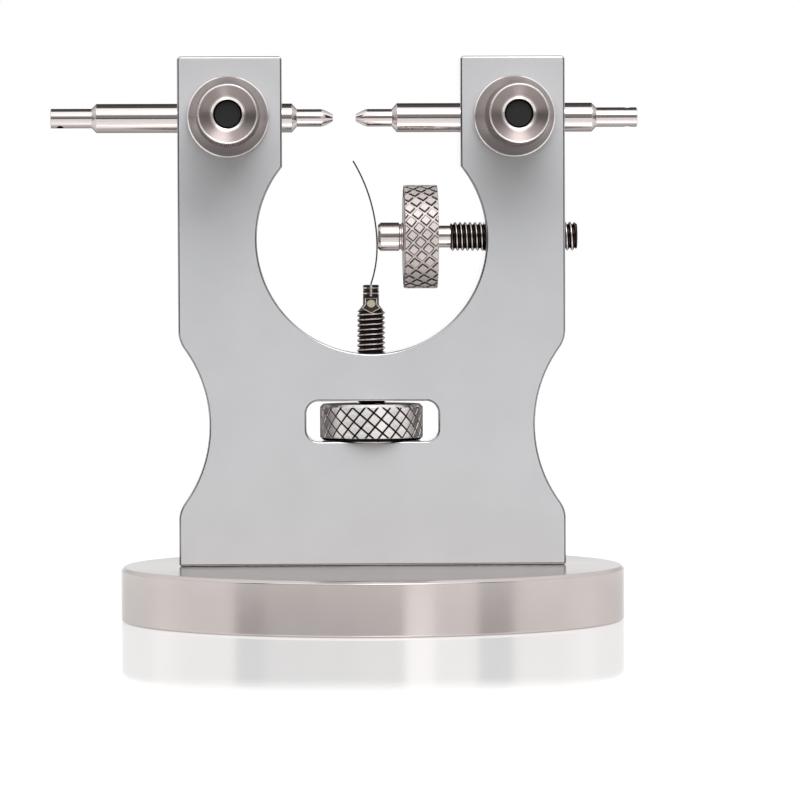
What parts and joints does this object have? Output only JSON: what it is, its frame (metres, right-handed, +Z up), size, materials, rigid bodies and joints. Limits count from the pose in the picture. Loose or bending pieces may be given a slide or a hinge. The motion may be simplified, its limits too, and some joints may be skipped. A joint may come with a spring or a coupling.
{
  "type": "balance truing caliper",
  "caption": "Watchmaker's bench caliper: plate on a round base, two centring spindles with clamp knobs, spring feeler with height nut and adjusting screw.",
  "frame": {"origin": "centre of the round base's underside", "axes": "+X along the two spindles to the right, +Y from the knobs to the plain back, +Z up"},
  "size_m": [0.0586, 0.05, 0.056],
  "materials": {
    "polished_base_steel": "finely turned, polished top",
    "satin_plate_metal": "fine satin",
    "fastener_steel": "plain",
    "turned_steel": "turned and polished",
    "knob_steel": "turned, fine rings",
    "black_oxide_steel": "blackened steel",
    "pad_brass": "turned",
    "pin_brass": "ground flush",
    "knurled_steel": "diamond knurled",
    "spring_steel": "blued spring steel"
  },
  "bodies": {
    "stand": {"base_disc": "polished_base_steel", "frame_plate": "satin_plate_metal", "base_screws": "fastener_steel", "locating_pins": "fastener_steel", "guide_screw": "fastener_steel"},
    "left_centre": {"left_spindle": "turned_steel"},
    "right_centre": {"right_spindle": "turned_steel"},
    "left_pad_carrier": {"left_clamp_pad": "pad_brass"},
    "left_clamp": {"left_clamp_knob": "knob_steel", "left_clamp_stud": "black_oxide_steel"},
    "right_pad_carrier": {"right_clamp_pad": "pad_brass"},
    "right_clamp": {"right_clamp_knob": "knob_steel", "right_clamp_stud": "black_oxide_steel"},
    "nut": {"height_nut": "knurled_steel"},
    "rod": {"height_rod": "black_oxide_steel", "feeler_pin": "pin_brass"},
    "feeler_strip": {"feeler": "spring_steel"},
    "push": {"push_nose": "turned_steel"},
    "wheel": {"adjust_wheel": "knurled_steel", "adjust_screw": "turned_steel"}
  },
  "joints": [
    {"name": "left_spindle_slide", "type": "slide", "parent": "stand", "child": "left_centre", "axis": [1, 0, 0], "range_m": [-0.0045, 0.0011]},
    {"name": "right_spindle_slide", "type": "slide", "parent": "stand", "child": "right_centre", "axis": [1, 0, 0], "range_m": [-0.0011, 0.0045]},
    {"name": "left_pad_travel", "type": "slide", "parent": "stand", "child": "left_pad_carrier", "axis": [0, -1, 0], "range_m": [0, 0.0015]},
    {"name": "left_clamp_turn", "type": "hinge", "parent": "left_pad_carrier", "child": "left_clamp", "pos_m": [-0.0142, 0, 0.05], "axis": [0, -1, 0], "range_deg": [0, 1080]},
    {"name": "right_pad_travel", "type": "slide", "parent": "stand", "child": "right_pad_carrier", "axis": [0, -1, 0], "range_m": [0, 0.0015]},
    {"name": "right_clamp_turn", "type": "hinge", "parent": "right_pad_carrier", "child": "right_clamp", "pos_m": [0.0142, 0, 0.05], "axis": [0, -1, 0], "range_deg": [0, 1080]},
    {"name": "height_nut_turn", "type": "hinge", "parent": "stand", "child": "nut", "pos_m": [0, 0.003, 0.0196], "axis": [0, 0, 1], "range_deg": [-900, 2880]},
    {"name": "rod_travel", "type": "slide", "parent": "stand", "child": "rod", "axis": [0, 0, 1], "range_m": [-0.004, 0.00125]},
    {"name": "push_travel", "type": "slide", "parent": "stand", "child": "push", "axis": [1, 0, 0], "range_m": [-0.0005, 0.00025]},
    {"name": "adjust_turn", "type": "hinge", "parent": "push", "child": "wheel", "pos_m": [0.005, 0.003, 0.0381], "axis": [1, 0, 0], "range_deg": [-360, 180]},
    {"name": "feeler_bend", "type": "hinge", "parent": "rod", "child": "feeler_strip", "pos_m": [0, 0.003, 0.03295], "axis": [0, 1, 0], "range_deg": [-6.83, 3.42]}
  ],
  "couplings": [
    {"joint": "left_clamp_turn", "follows": "left_pad_travel", "rad_per_m": 12566},
    {"joint": "right_clamp_turn", "follows": "right_pad_travel", "rad_per_m": 12566},
    {"joint": "height_nut_turn", "follows": "rod_travel", "rad_per_m": -12566},
    {"joint": "adjust_turn", "follows": "push_travel", "rad_per_m": 12566},
    {"joint": "feeler_bend", "follows": "push_travel", "rad_per_m": 238.09}
  ]
}
